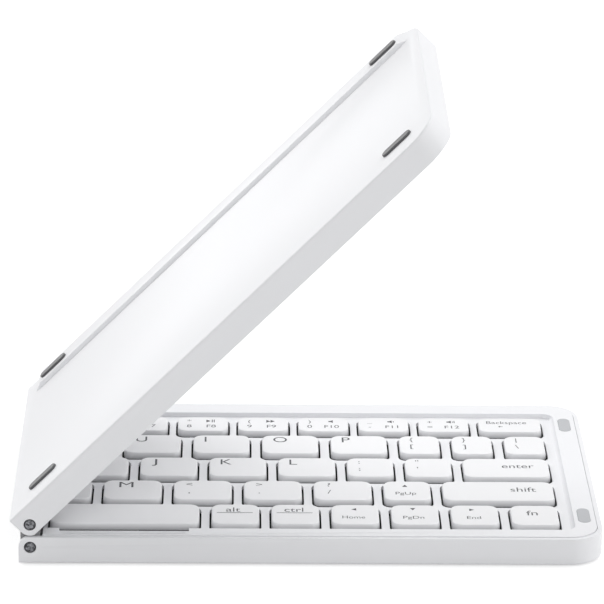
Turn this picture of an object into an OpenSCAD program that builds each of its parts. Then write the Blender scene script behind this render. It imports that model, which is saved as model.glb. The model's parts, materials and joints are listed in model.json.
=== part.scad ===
// A pocket keyboard that folds in two. Two equal trays of keys are joined by a
// spine with a row of pins at each edge, so that they lie face to face when
// closed and side by side when open. It is drawn half open, as it stands.
//
// Each tray is drawn in its own frame: x runs from its hinge end to its tip,
// y from its near face to its far face with 0 in the middle, and z from the
// underside of its case to the rim around its keys. All lengths are in mm.

/* [Trays] */
// Length of one tray from its hinge end to its tip
tray_len = 147; // [130:1:170]
// Depth of a tray from its near face to its far face
tray_depth = 93.4; // [88:0.2:110]
// Thickness of a tray from its underside to its rim
tray_h = 7.2; // [6.6:0.1:9]
// Radius of the two rounded corners at the tip, seen from above
corner_r = 8.5; // [4:0.5:12]
// Rounding of the case's lower edges
edge_r = 0.6; // [0.3:0.1:1]
// Thickness of the case's walls
case_wall = 1.2; // [0.9:0.1:1.8]
// Thickness of the case's floor
floor_t = 1.2; // [0.8:0.1:1.4]
// How far the case's walls end below the rim of the deck frame
wall_drop = 0.2; // [0.05:0.05:0.4]
// Seam between a case wall and the deck frame inside it
seam = 0.15; // [0.05:0.05:0.25]

/* [Deck] */
// Drop from the rim to the deck that the keys stand in
deck_drop = 1.2; // [0.8:0.1:1.6]
// Thickness of the deck between the keys
deck_t = 1; // [0.8:0.1:1.2]
// Width of the rim at the near face
near_rim = 5.9; // [4:0.1:7]
// Width of the rim at the far face
far_rim = 7; // [5:0.1:8]
// Width of the rim at the tip
tip_rim = 6.8; // [6:0.1:8]
// Width of the slope from the tip rim down to the deck
rim_slope = 1; // [0.4:0.1:1.6]
// Radius of the deck's two corners at the tip, seen from above
hollow_corner = 3; // [1:0.2:3.6]
// Length of the thumb scoop in the near rim, in front of the space bar
scoop_len = 32.6; // [20:0.2:40]
// Distance from the hinge end of the tray to the scoop
scoop_start = 10; // [8:0.2:14]
// Radius of the scoop's two near corners, seen from above
scoop_corner = 2.2; // [0.6:0.1:3]
// Strip of rim left in front of the scoop
scoop_lip = 2.1; // [1.8:0.1:3.4]
// Thickness of the skirt that the deck stands on, along the walls
skirt_w = 1.2; // [0.8:0.1:1.6]
// Thickness of that skirt along the hinge trough
trough_skirt = 0.6; // [0.4:0.1:0.8]
// Width of the ledge inside the case that carries the key plate
ledge_w = 1.1; // [0.8:0.1:1.6]

/* [Keys] */
// Gap between the deck's wells along the three nearest rows
rib = 2.05; // [1.6:0.05:2.8]
// Gap between the wells along the row of the brackets
bracket_rib = 2.3; // [1.6:0.05:2.8]
// Gap between the wells along the number row
number_rib = 1.7; // [1.4:0.05:2.6]
// Gap between the wells of one row and the next
row_rib = 2.3; // [2.2:0.1:3]
// Distance from one row of keys to the next
row_pitch = 16; // [14.6:0.1:16.2]
// Width of the sunken step in front of each well
step_w = 1.7; // [1:0.1:2]
// Depth of that step below the deck
step_depth = 0.7; // [0.3:0.05:0.75]
// Distance from the near face to the wells of the lowest row
first_row = 8.6; // [8.2:0.1:9.4]
// Depth of the number row's wells
number_depth = 10.9; // [9:0.1:11.4]
// Distance from the tip to the nearest wells
tip_margin = 10.05; // [8.8:0.05:12]
// Distance from the hinge trough to the nearest wells
hinge_margin = 0.9; // [0.7:0.1:1.4]
// Distance from one letter key to the next
letter_pitch = 18.04; // [17:0.02:18.6]
// Distance from one letter key to the next in the row of the brackets
bracket_letter_pitch = 18.25; // [17:0.05:18.8]
// Distance from one number key to the next
number_pitch = 16.18; // [15:0.02:16.4]
// Distance from one bracket key to the next
bracket_pitch = 13.98; // [13:0.02:14.4]
// Distance from one arrow key to the next
arrow_pitch = 15.22; // [14.4:0.02:15.6]
// Cell of the backspace key
backspace_cell = 19.47; // [18:0.01:21]
// Cell of the enter key
enter_cell = 25.6; // [24:0.05:27]
// Cell of the right shift key
shift_cell = 31.8; // [30:0.05:33]
// Cell of the 6 key
six_cell = 15.2; // [14:0.05:17]
// Cell of the Y key
y_cell = 17.41; // [16:0.01:20]
// Cell of the H key
h_cell = 21.94; // [18:0.01:24]
// Cell of the N key, which the hinge cuts short
n_cell = 12.92; // [11:0.01:16]
// Cell of the right space bar
space_cell = 40.78; // [36:0.01:46]
// Cell of the left space bar
left_space_cell = 59.94; // [54:0.01:66]
// Cell of the wide key that ends a row of the left tray
left_edge_cell = 41.9; // [36:0.05:46]
// Cell of the escape key
esc_cell = 23.51; // [20:0.01:27]
// Gap at the left and right of a key cap
cap_side_gap = 0.45; // [0.3:0.05:0.6]
// Gap in front of and behind a key cap
cap_end_gap = 0.35; // [0.25:0.05:0.5]
// Height of a key cap's top above the deck
cap_rise = 1.15; // [0.8:0.05:1.3]
// Thickness of a key cap's walls and top
cap_wall = 0.9; // [0.7:0.05:1.1]
// Lean of a key cap's sides over its height
cap_lean = 0.45; // [0.2:0.05:0.7]
// Corner radius of a key cap, seen from above
cap_corner = 2; // [1:0.1:2.6]
// Reach of a key cap's skirt below the top of the deck
skirt_dip = 0.25; // [0.1:0.05:0.5]
// Travel of a key
key_travel = 1.1; // [0.8:0.05:1.2]

/* [Hinge] */
// Distance from a tray's rim down to its hinge pins, and in from its end
pin_inset = 2.9; // [2.6:0.05:3.2]
// Gap between the two rims when closed, and between the ends when flat
fold_gap = 0.3; // [0.2:0.05:0.6]
// Radius of a hinge pin
pin_r = 0.85; // [0.6:0.05:1]
// Radius of a hinge pin's head
head_r = 1.5; // [1.3:0.05:1.8]
// Thickness of a hinge pin's head
head_t = 0.5; // [0.35:0.05:0.6]
// Length of a hinge pin that is held in the spine
pin_grip = 6; // [4:0.5:10]
// Running clearance around a hinge pin
pin_clear = 0.05; // [0.03:0.01:0.08]
// Cover of the spine inside the rounded ends of the case walls
spine_cover = 0.45; // [0.3:0.05:0.8]
// Gap between the ends of the spine and the case walls
spine_gap = 0.15; // [0.1:0.05:0.3]
// Length of the hinge trough at the end of each tray
trough_len = 6; // [5.8:0.1:7]
// Width of the ribbon cable that crosses the hinge
flex_w = 12; // [6:1:20]
// Thickness of the ribbon cable
flex_t = 0.2; // [0.1:0.05:0.4]
// Distance that the ribbon cable stays inside the spine's edges
flex_setback = 0.1; // [0.05:0.05:0.3]
// Thickness of the slot that it passes through
slot_t = 1.4; // [0.8:0.1:2]
// Clearance at each end of that slot
slot_clear = 1; // [0.5:0.1:2]
// Angle between the two trays as drawn: 0 is closed and 180 is flat
lid_angle = 45.24; // [20:1:140]

/* [Feet and bumpers] */
// Length of a rubber foot
foot_len = 9.3; // [6:0.1:14]
// Width of a rubber foot
foot_w = 3; // [2:0.1:5]
// Height of a rubber foot
foot_h = 0.65; // [0.4:0.05:1.2]
// Distance from an end of the tray to the middle of the nearest feet
foot_end = 11.5; // [10:0.1:20]
// Distance from the near face to the middle of the front feet
front_foot_y = 9.2; // [7:0.1:14]
// Distance from the far face to the middle of the rear feet
rear_foot_y = 6.6; // [5.6:0.1:8]
// Height of the bar under the rear edge
bar_h = 1.1; // [0.6:0.1:2]
// Depth of the bar, from front to back
bar_w = 8.6; // [8:0.1:11]
// Distance from the far face to the bar
bar_inset = 1.4; // [1:0.1:2]
// Length of the slope at each end of the bar
bar_ramp = 2.5; // [1:0.1:4]
// Length of the bar's flat beyond the foot at each end
bar_flat = 0.4; // [0.2:0.1:1]
// Length of a closing bumper
bumper_len = 9.2; // [6:0.1:12]
// Width of a closing bumper
bumper_w = 3.1; // [2:0.1:4]
// Height of a closing bumper, most of it sunk in the rim
bumper_h = 0.7; // [0.5:0.05:1]
// Height of a closing bumper above the rim
bumper_proud = 0.1; // [0.05:0.01:0.12]
// Distance from the near or far face to the middle of a bumper
bumper_y = 15.2; // [12:0.1:22]
// Distance from the tip to the middle of a bumper
bumper_x = 4.2; // [3.6:0.1:4.6]

/* [Inside] */
// Thickness of the steel plate under the keys
plate_t = 0.4; // [0.3:0.05:0.6]
// Gap between a pressed key cap and its dome
press_gap = 0.1; // [0.05:0.05:0.2]
// Clearance around the edge of the plate
plate_clear = 0.1; // [0.05:0.05:0.2]
// Radius of a key's rubber dome at its foot
dome_r = 1.9; // [1.4:0.1:2.2]
// Radius of a key's rubber dome at its top
dome_top_r = 0.9; // [0.6:0.1:1.2]
// Height of a key's rubber dome, drawn pressed
dome_h = 1.45; // [1:0.05:1.5]
// Length of a key's scissor frame, from front to back
scissor_len = 7; // [5:0.1:7.6]
// Width of a key's scissor frame
scissor_w = 7; // [5.6:0.1:7.4]
// Width of the frame's legs
scissor_leg = 0.8; // [0.6:0.1:1]
// Thickness of the frame's legs
scissor_t = 0.7; // [0.4:0.1:1]
// Least gap between the frame and the edge of its well
scissor_gap = 1.8; // [1.4:0.1:2.2]
// Least gap between the frame and its dome
dome_gap = 0.2; // [0.1:0.05:0.4]
// Length of the battery
battery_len = 62; // [40:1:70]
// Width of the battery
battery_w = 36; // [20:1:40]
// Thickness of the battery
battery_t = 1.7; // [1.2:0.1:1.8]
// Distance from the hinge end to the battery
battery_x = 14; // [10:1:20]
// Length of the main circuit board
board_len = 38; // [30:1:44]
// Width of the main circuit board
board_w = 24; // [18:1:40]
// Thickness of the main circuit board
board_t = 0.8; // [0.6:0.1:1]
// Height of the posts under the circuit board
post_h = 0.4; // [0.3:0.1:0.5]
// Radius of those posts
post_r = 1.5; // [1:0.1:2]
// Distance from the board's edges to the middle of a post
post_inset = 3; // [2:0.1:4]
// Distance from the hinge end to the middle of the charging socket
socket_x = 118; // [104:1:124]
// Width of the charging socket
socket_w = 8.9; // [8.9:0.1:9.2]
// Height of the charging socket
socket_h = 3.1; // [2.8:0.1:3.2]
// Depth of the charging socket
socket_d = 6.8; // [5:0.1:7]
// Thickness of the socket's metal shell
socket_wall = 0.3; // [0.2:0.05:0.4]
// Thickness of the socket's back
socket_back = 1; // [0.6:0.1:1.4]
// Thickness of the contact tongue inside the socket
tongue_t = 0.7; // [0.5:0.1:0.9]
// Gap between the tongue and the shell at each side, and at the mouth
tongue_gap = 0.8; // [0.6:0.1:1.2]

/* [Hidden] */
$fn = 64;
// A cut runs this far past the face that it opens
over = 1;
// What grows out of another form starts this far inside it
root = 0.3;
// Clearance that a pocket leaves around what sits in it
fit = 0.05;

half_depth = tray_depth / 2;
wall_h = tray_h - wall_drop;
deck_z = tray_h - deck_drop;
deck_under = deck_z - deck_t;
pin_z = tray_h - pin_inset;
pin_gap = 2 * pin_inset + fold_gap;
spine_r = pin_inset - spine_cover;
cap_top = deck_z + cap_rise;

// The plate lies so far down that the pressed keys just clear their domes
skirt_z = deck_z - skirt_dip;
plate_top = cap_top - cap_wall - key_travel - press_gap - dome_h;
plate_z = plate_top - plate_t;

// The inside of the case, and the deck frame that drops into it
inner_r = corner_r - case_wall;
frame_r = inner_r - seam;
frame_x = tray_len - case_wall - seam;
frame_y = half_depth - case_wall - seam;

// Wells of the keys
well_left = trough_len + hinge_margin;
well_right = tray_len - tip_margin;
well_depth = row_pitch - row_rib;
well_corner = cap_corner + cap_end_gap;

// The part stands on its feet, under the middle of its outline
stand_h = bar_h + foot_h;
lid_low_x = pin_inset - pin_inset * cos(lid_angle) - pin_z * sin(lid_angle);
base_x = -(lid_low_x + tray_len) / 2;

// Keys of the right tray, row by row from the near side. Each row is listed
// from its tip to its hinge end as a name and a cell, the distance to the next
// key.
right_rows = [
    [["fn", arrow_pitch], ["right", arrow_pitch], ["down", arrow_pitch], ["left", arrow_pitch],
     ["ctrl", arrow_pitch], ["alt", arrow_pitch], ["space", space_cell]],
    [["shift", shift_cell], ["up", arrow_pitch], ["slash", letter_pitch], ["period", letter_pitch],
     ["comma", letter_pitch], ["m", letter_pitch], ["n", n_cell]],
    [["enter", enter_cell], ["quote", arrow_pitch], ["semicolon", arrow_pitch], ["l", letter_pitch],
     ["k", letter_pitch], ["j", letter_pitch], ["h", h_cell]],
    [["backslash", bracket_pitch], ["close_bracket", bracket_pitch], ["open_bracket", bracket_pitch],
     ["p", bracket_letter_pitch], ["o", bracket_letter_pitch], ["i", bracket_letter_pitch],
     ["u", bracket_letter_pitch], ["y", y_cell]],
    [["backspace", backspace_cell], ["equals", number_pitch], ["minus", number_pitch],
     ["0", number_pitch], ["9", number_pitch], ["8", number_pitch], ["7", number_pitch], ["6", six_cell]],
];

// Keys of the left tray, in the same way
left_rows = [
    [["ctrl", letter_pitch], ["fn", letter_pitch], ["super", letter_pitch], ["alt", letter_pitch],
     ["space", left_space_cell]],
    [["shift", left_edge_cell], ["z", letter_pitch], ["x", letter_pitch], ["c", letter_pitch],
     ["v", letter_pitch], ["b", letter_pitch]],
    [["caps", left_edge_cell], ["a", letter_pitch], ["s", letter_pitch], ["d", letter_pitch],
     ["f", letter_pitch], ["g", letter_pitch]],
    [["tab", left_edge_cell + bracket_rib - rib], ["q", letter_pitch], ["w", letter_pitch], ["e", letter_pitch],
     ["r", letter_pitch], ["t", letter_pitch]],
    [["esc", esc_cell], ["grave", letter_pitch], ["1", letter_pitch], ["2", letter_pitch],
     ["3", letter_pitch], ["4", letter_pitch], ["5", letter_pitch]],
];
left_row_names = ["left_bottom_keys", "left_z_keys", "left_a_keys", "left_q_keys", "left_number_keys"];
bracket_row = 3;
number_row = 4;

function sum(v, n, i = 0) = i >= n ? 0 : v[i] + sum(v, n, i + 1);
function row_near(r) = first_row - half_depth + r * row_pitch;
function row_depth(r) = r == number_row ? number_depth : well_depth;
function rib_of(r) = r == number_row ? number_rib : r == bracket_row ? bracket_rib : rib;
function row_length(r) = well_right - well_left + rib_of(r);

// The cells of a row, all stretched or shrunk alike until the row fills its
// length. The right tray's cells, as drawn, add up to that length by themselves.
function fitted(row, r) =
    let (cells = [for (key = row) key[1]])
    cells * row_length(r) / sum(cells, len(cells));

// Wells of a tray: [name, middle x, middle y, width, depth]
function wells(rows) = [
    for (r = [0 : len(rows) - 1])
    for (k = [0 : len(rows[r]) - 1])
    let (c = fitted(rows[r], r), right = well_right - sum(c, k), w = c[k] - rib_of(r))
    [rows[r][k][0], right - w / 2, row_near(r) + row_depth(r) / 2, w, row_depth(r)]
];
right_wells = wells(right_rows);
left_wells = wells(left_rows);
function key_node(well) = str("key_", well[0]);

right_nodes = ["right_case", "right_deck", "right_bumpers", "right_feet", "right_key_plate",
    "right_key_switches", "battery", "main_board", "charging_socket"];
spine_nodes = ["hinge_spine", "hinge_pins", "flex_cable"];
left_nodes = ["left_case", "left_deck", "left_bumpers", "left_feet", "left_key_plate",
    "left_key_switches"];

// ---- Where things stand ----

module on_right() {
    translate([base_x, 0, stand_h]) children();
}

module on_left() {
    on_right()
        translate([pin_inset, 0, pin_z + pin_gap])
        rotate([0, 180 - lid_angle, 0])
        translate([pin_inset, 0, -pin_z])
        mirror([1, 0, 0])
        children();
}

// ---- Plain forms ----

// A rectangle with round corners, around the origin
module round_rect(w, d, r) {
    square([w - 2 * r, d], center = true);
    square([w, d - 2 * r], center = true);
    for (x = [-1, 1], y = [-1, 1])
        translate([x * (w / 2 - r), y * (d / 2 - r)]) circle(r);
}

// A bar with half-round ends, lying along x
module pill(length, width, height) {
    linear_extrude(height) {
        square([length - width, width], center = true);
        for (x = [-1, 1]) translate([x * (length - width) / 2, 0]) circle(width / 2);
    }
}

// The outline of a tray from x0 to x1, round at the tip only
module tray_outline(x0, x1, y, r) {
    translate([x0, -y]) square([x1 - r - x0, 2 * y]);
    translate([x0, r - y]) square([x1 - x0, 2 * (y - r)]);
    for (side = [-1, 1]) translate([x1 - r, side * (y - r)]) circle(r);
}

// One quarter of the profile of a case edge: a wall with its foot rounded
module foot_profile(reach) {
    translate([0, edge_r]) square([reach, wall_h - edge_r]);
    square([reach - edge_r, wall_h]);
    translate([reach - edge_r, edge_r]) circle(edge_r);
}

// The solid of a tray, with the lower edges rounded all round but at the hinge
module tray_block() {
    long = tray_len - corner_r;
    flat = half_depth - corner_r;
    for (side = [0, 1])
        mirror([0, side, 0])
        rotate([90, 0, 90])
        linear_extrude(long)
        foot_profile(half_depth);
    translate([long, flat, 0])
        rotate([90, 0, 0])
        linear_extrude(2 * flat)
        foot_profile(corner_r);
    for (side = [-1, 1])
        translate([long, side * flat, 0])
        rotate_extrude()
        intersection() {
            foot_profile(corner_r);
            square([corner_r, wall_h]);
        }
}

// ---- Case ----

// Rounds the corner of the walls around the hinge pins
module knuckle_cut() {
    translate([0, half_depth + over, pin_z])
        rotate([90, 0, 0])
        linear_extrude(tray_depth + 2 * over)
        difference() {
            translate([-over, 0]) square([pin_inset + over, pin_inset + over]);
            translate([pin_inset, 0]) circle(pin_inset);
        }
}

// Holes for the hinge pins and their heads in both walls
module pin_holes() {
    for (side = [-1, 1])
        translate([pin_inset, side * half_depth, pin_z])
        rotate([side * 90, 0, 0]) {
            translate([0, 0, -over]) cylinder(h = case_wall + 2 * over, r = pin_r + pin_clear);
            translate([0, 0, -over]) cylinder(h = head_t + pin_clear + over, r = head_r + pin_clear);
        }
}

// The bar under the rear edge, which tips the keys towards the user
module rear_bar() {
    x0 = foot_end - foot_len / 2 - bar_flat - bar_ramp;
    x1 = tray_len - x0;
    translate([0, half_depth - bar_inset, 0])
        rotate([90, 0, 0])
        linear_extrude(bar_w)
        polygon([[x0, 0], [x0 + bar_ramp, -bar_h], [x1 - bar_ramp, -bar_h], [x1, 0], [x1, root], [x0, root]]);
}

// The inside of the case, open at the rim and at the hinge end
module case_hollow() {
    translate([0, 0, floor_t])
        linear_extrude(tray_h)
        tray_outline(-over, tray_len - case_wall, half_depth - case_wall, inner_r);
}

// The ledge inside the walls, which carries the key plate
module case_ledge() {
    translate([0, 0, floor_t])
        linear_extrude(plate_z - floor_t)
        difference() {
            tray_outline(trough_len, tray_len - case_wall, half_depth - case_wall, inner_r);
            tray_outline(trough_len + ledge_w, tray_len - case_wall - ledge_w,
                half_depth - case_wall - ledge_w, inner_r - ledge_w);
        }
}

module tray_case() {
    difference() {
        union() {
            difference() {
                tray_block();
                case_hollow();
            }
            case_ledge();
            rear_bar();
        }
        knuckle_cut();
        pin_holes();
    }
}

// ---- Deck frame ----

// The hollow of the deck inside the rim, with a sloped wall and two rounded
// corners at the tip
module deck_hollow() {
    near = near_rim - half_depth;
    far = half_depth - far_rim;
    x1 = tray_len - tip_rim;
    intersection() {
        translate([0, far + over, 0])
            rotate([90, 0, 0])
            linear_extrude(far - near + 2 * over)
            polygon([[trough_len - over, deck_z], [x1 - rim_slope, deck_z], [x1, tray_h],
                [x1, tray_h + over], [trough_len - over, tray_h + over]]);
        translate([0, (near + far) / 2, deck_z - over])
            linear_extrude(deck_drop + 3 * over)
            tray_outline(trough_len - 2 * over, x1, (far - near) / 2, hollow_corner);
    }
}

// The thumb scoop: a slope out of the near rim, aimed at the front of the space
// bar's step, with its two near corners rounded. It runs into the deck's hollow.
module scoop() {
    near = scoop_lip - half_depth;
    end = near_rim - half_depth + root;
    fall = deck_drop * (end - near) / (row_near(0) - step_w - near);
    intersection() {
        translate([scoop_start - over, 0, 0])
            rotate([90, 0, 90])
            linear_extrude(scoop_len + 2 * over)
            polygon([[near, tray_h], [end, tray_h - fall], [end, tray_h + over], [near, tray_h + over]]);
        translate([scoop_start + scoop_len / 2, (near + end + scoop_corner) / 2, deck_z - over])
            linear_extrude(deck_drop + 3 * over)
            round_rect(scoop_len, end + scoop_corner - near, scoop_corner);
    }
}

// The two closing bumpers, up to a given height, each grown by a clearance
module bumpers(grow, top) {
    foot = tray_h + bumper_proud - bumper_h;
    for (side = [-1, 1])
        translate([tray_len - bumper_x, side * (half_depth - bumper_y), foot])
        rotate([0, 0, 90])
        pill(bumper_len + 2 * grow, bumper_w + 2 * grow, top - foot);
}

module tray_deck(holes) {
    difference() {
        translate([0, 0, plate_top])
            linear_extrude(tray_h - plate_top)
            tray_outline(trough_len, frame_x, frame_y, frame_r);
        translate([0, 0, plate_top - over])
            linear_extrude(deck_under - plate_top + over)
            tray_outline(trough_len + trough_skirt, frame_x - skirt_w, frame_y - skirt_w, frame_r - skirt_w);
        deck_hollow();
        scoop();
        bumpers(fit, tray_h + over);
        for (w = holes) {
            translate([w[1], w[2], deck_under - over])
                linear_extrude(deck_drop + deck_t + 2 * over)
                round_rect(w[3], w[4], well_corner);
            translate([w[1], w[2] - step_w / 2, deck_z - step_depth])
                linear_extrude(deck_drop + step_depth + over)
                round_rect(w[3], w[4] + step_w, well_corner);
        }
    }
}

// ---- Keys ----

// A cap seen end on: upright skirt in the well, leaning sides above the deck
module cap_profile(w, lean) {
    polygon([[-w / 2, skirt_z], [w / 2, skirt_z], [w / 2, deck_z], [w / 2 - lean, cap_top],
        [lean - w / 2, cap_top], [-w / 2, deck_z]]);
}

module cap(well) {
    w = well[3] - 2 * cap_side_gap;
    d = well[4] - 2 * cap_end_gap;
    translate([well[1], well[2], 0])
        difference() {
            intersection() {
                linear_extrude(tray_h + over) round_rect(w, d, cap_corner);
                translate([0, d / 2, 0]) rotate([90, 0, 0]) linear_extrude(d) cap_profile(w, cap_lean);
                translate([-w / 2, 0, 0]) rotate([90, 0, 90]) linear_extrude(w) cap_profile(d, cap_lean);
            }
            translate([0, 0, skirt_z - over])
                linear_extrude(cap_top - cap_wall - skirt_z + over)
                square([w - 2 * cap_wall, d - 2 * cap_wall], center = true);
        }
}

// ---- Under the keys ----

module key_plate() {
    translate([0, 0, plate_z])
        linear_extrude(plate_t)
        tray_outline(trough_len + plate_clear, frame_x - plate_clear, frame_y - plate_clear,
            frame_r - plate_clear);
}

// A rubber dome in the middle of its scissor frame, folded flat on the plate
module key_switch(well) {
    frame_w = min(scissor_w, well[3] - 2 * scissor_gap);
    frame_d = min(scissor_len, well[4] - 2 * scissor_gap);
    foot_r = min(dome_r, min(frame_w, frame_d) / 2 - scissor_leg - dome_gap);
    translate([well[1], well[2], plate_top]) {
        cylinder(h = dome_h, r1 = foot_r, r2 = min(dome_top_r, foot_r));
        linear_extrude(scissor_t)
            difference() {
                square([frame_w, frame_d], center = true);
                square([frame_w - 2 * scissor_leg, frame_d - 2 * scissor_leg], center = true);
            }
    }
}

// ---- Inside the right tray ----

// The board lies under the socket, but ends where the case's corner begins
board_x = min(socket_x - board_len / 2, tray_len - corner_r - board_len);
board_far = half_depth - case_wall - ledge_w - fit;
board_z = floor_t + post_h;
socket_z = board_z + board_t;

module board_posts() {
    for (x = [post_inset, board_len - post_inset], y = [post_inset, board_w - post_inset])
        translate([board_x + x, board_far - y, floor_t - root])
        cylinder(h = post_h + root, r = post_r);
}

// The space of the charging socket, which comes out of the far wall
module socket_space(grow, depth) {
    translate([socket_x, half_depth, socket_z + socket_h / 2])
        rotate([90, 0, 0])
        translate([0, 0, -grow])
        pill(socket_w + 2 * grow, socket_h + 2 * grow, depth + grow);
}

module right_case() {
    color("white") on_right() {
        difference() {
            tray_case();
            socket_space(fit, socket_d + fit);
        }
        board_posts();
    }
}

module right_deck() {
    color("whitesmoke")
        on_right()
        difference() {
            tray_deck(right_wells);
            socket_space(fit, socket_d + fit);
        }
}

module right_bumpers() {
    color("silver") on_right() bumpers(0, tray_h + bumper_proud);
}

module tray_feet() {
    for (x = [foot_end, tray_len - foot_end]) {
        translate([x, front_foot_y - half_depth, -foot_h]) pill(foot_len, foot_w, foot_h);
        translate([x, half_depth - rear_foot_y, -bar_h - foot_h]) pill(foot_len, foot_w, foot_h);
    }
}

module right_feet() {
    color("dimgray") on_right() tray_feet();
}

module right_key_plate() {
    color("lightsteelblue")
        on_right()
        difference() {
            key_plate();
            socket_space(fit, socket_d + fit);
        }
}

module right_key_switches() {
    color("lightgray") on_right() for (w = right_wells) key_switch(w);
}

module battery() {
    color("darkslategray")
        on_right()
        translate([battery_x, -battery_w / 2, floor_t])
        cube([battery_len, battery_w, battery_t]);
}

module main_board() {
    color("darkgreen")
        on_right()
        translate([board_x, board_far - board_w, board_z])
        cube([board_len, board_w, board_t]);
}

// A metal shell with a closed back, which carries the contact tongue
module charging_socket() {
    tongue_w = socket_w - 2 * (socket_wall + tongue_gap);
    tongue_d = socket_d - socket_back - tongue_gap;
    color("gray") on_right() {
        difference() {
            socket_space(0, socket_d);
            translate([0, over, 0]) socket_space(-socket_wall, socket_d - socket_back + over);
        }
        translate([socket_x - tongue_w / 2, half_depth - socket_d + socket_back - root,
            socket_z + (socket_h - tongue_t) / 2])
            cube([tongue_w, tongue_d + root, tongue_t]);
    }
}

// ---- Hinge ----

module hinge_spine() {
    length = tray_depth - 2 * (case_wall + spine_gap);
    slot_w = flex_w + 2 * slot_clear;
    color("dimgray")
        on_right()
        translate([pin_inset, 0, pin_z])
        difference() {
            translate([0, length / 2, 0])
                rotate([90, 0, 0])
                linear_extrude(length) {
                    translate([-spine_r, 0]) square([2 * spine_r, pin_gap]);
                    circle(spine_r);
                    translate([0, pin_gap]) circle(spine_r);
                }
            for (side = [-1, 1], z = [0, pin_gap])
                translate([0, side * length / 2, z])
                rotate([side * 90, 0, 0])
                translate([0, 0, -over])
                cylinder(h = pin_grip + over, r = pin_r);
            translate([-slot_t / 2, -slot_w / 2, -spine_r - over])
                cube([slot_t, slot_w, pin_gap + 2 * (spine_r + over)]);
        }
}

module hinge_pins() {
    color("gray")
        on_right()
        for (side = [-1, 1], z = [pin_z, pin_z + pin_gap])
        translate([pin_inset, side * half_depth, z])
        rotate([side * 90, 0, 0]) {
            cylinder(h = head_t, r = head_r);
            cylinder(h = case_wall + spine_gap + pin_grip, r = pin_r);
        }
}

// The ribbon between the two trays, where it passes through the spine. It
// lies against one face of its slot.
module flex_cable() {
    reach = spine_r - flex_setback;
    color("orange")
        on_right()
        translate([pin_inset - slot_t / 2, -flex_w / 2, pin_z - reach])
        cube([flex_t, flex_w, pin_gap + 2 * reach]);
}

// ---- Left tray ----

module left_case() {
    color("white") on_left() tray_case();
}

module left_deck() {
    color("whitesmoke") on_left() tray_deck(left_wells);
}

module left_bumpers() {
    color("silver") on_left() bumpers(0, tray_h + bumper_proud);
}

module left_feet() {
    color("dimgray") on_left() tray_feet();
}

module left_key_plate() {
    color("lightsteelblue") on_left() key_plate();
}

module left_key_switches() {
    color("lightgray") on_left() for (w = left_wells) key_switch(w);
}

module left_row(r) {
    color("white")
        on_left()
        for (w = left_wells)
        if (w[2] == row_near(r) + row_depth(r) / 2) cap(w);
}

right_case();
right_deck();
right_bumpers();
right_feet();
right_key_plate();
right_key_switches();
battery();
main_board();
charging_socket();
for (w = right_wells)
    color("white") on_right() cap(w);
hinge_spine();
hinge_pins();
flex_cable();
left_case();
left_deck();
left_bumpers();
left_feet();
left_key_plate();
left_key_switches();
for (r = [0 : len(left_row_names) - 1])
    left_row(r);
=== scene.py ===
"""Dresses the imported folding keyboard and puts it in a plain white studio.

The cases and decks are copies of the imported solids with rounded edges. The key
caps with their legends, the rubber pads and the hinge pins are new surfaces.
All lengths are in metres.
"""

import functools
import json
import math
from collections import namedtuple

import bmesh
import bpy
import numpy as np
from bpy.props import FloatProperty, FloatVectorProperty, IntProperty, PointerProperty
from bpy.types import Operator, Panel, PropertyGroup
from mathutils import Matrix, Vector


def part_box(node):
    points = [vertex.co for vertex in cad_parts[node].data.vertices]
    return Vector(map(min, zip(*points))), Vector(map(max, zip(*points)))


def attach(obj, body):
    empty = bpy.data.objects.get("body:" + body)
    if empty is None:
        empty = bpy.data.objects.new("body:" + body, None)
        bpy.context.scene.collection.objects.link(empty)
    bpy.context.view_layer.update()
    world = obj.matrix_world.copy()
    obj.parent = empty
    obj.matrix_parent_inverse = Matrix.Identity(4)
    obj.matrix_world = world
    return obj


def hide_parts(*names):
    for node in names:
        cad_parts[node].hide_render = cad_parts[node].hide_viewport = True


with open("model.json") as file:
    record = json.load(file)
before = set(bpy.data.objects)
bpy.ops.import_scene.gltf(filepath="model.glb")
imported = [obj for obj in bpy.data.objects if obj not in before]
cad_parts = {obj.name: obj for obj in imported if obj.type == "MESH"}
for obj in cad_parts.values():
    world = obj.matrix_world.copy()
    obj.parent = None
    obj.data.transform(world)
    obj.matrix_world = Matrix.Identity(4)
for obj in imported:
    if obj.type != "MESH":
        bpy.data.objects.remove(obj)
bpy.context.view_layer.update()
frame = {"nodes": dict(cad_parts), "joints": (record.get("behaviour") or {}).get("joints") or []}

bl_info = {
    "name": "Folding keyboard",
    "version": (1, 0, 0),
    "blender": (4, 5, 0),
    "location": "View3D > Sidebar > Keyboard",
    "description": "Builds the looks of a folding keyboard around its packed solids",
    "category": "Object",
}

MM = 0.001
UM = 0.000001
SMOOTH_ANGLE = math.radians(40)  # Edges of new surfaces that turn more than this stay sharp
FLAT_ANGLE = math.radians(0.6)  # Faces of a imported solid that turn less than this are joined
WELD = 2 * UM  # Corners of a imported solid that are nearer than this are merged
EDGE_ROOM = 1.6  # Least length of the edges beside a rounded one, in widths of its rounding
ROUNDEST = 0.98  # Largest corner radius of a ring, as a share of half its shorter side
INNERMOST = 0.97  # Inset of a cap's innermost rings, as a share of half its shorter side
SHANK_SHARE = 0.57  # Radius of a pin's shank, as a share of its head's
HEAD_DEPTH_SHARE = 1 / 3  # Depth of a pin's head, as a share of its radius


# ---- Sizes and colours that a user would change ----


def length(name, description, default):
    """A property that holds a length in metres."""
    return FloatProperty(name=name, description=description, default=default, unit="LENGTH", precision=6)


def angle(name, description, degrees):
    """A property that holds an angle."""
    return FloatProperty(name=name, description=description, default=math.radians(degrees), subtype="ANGLE")


def colour(name, description, default):
    """A property that holds a linear colour."""
    return FloatVectorProperty(name=name, description=description, default=default, subtype="COLOR", size=3)


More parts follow.
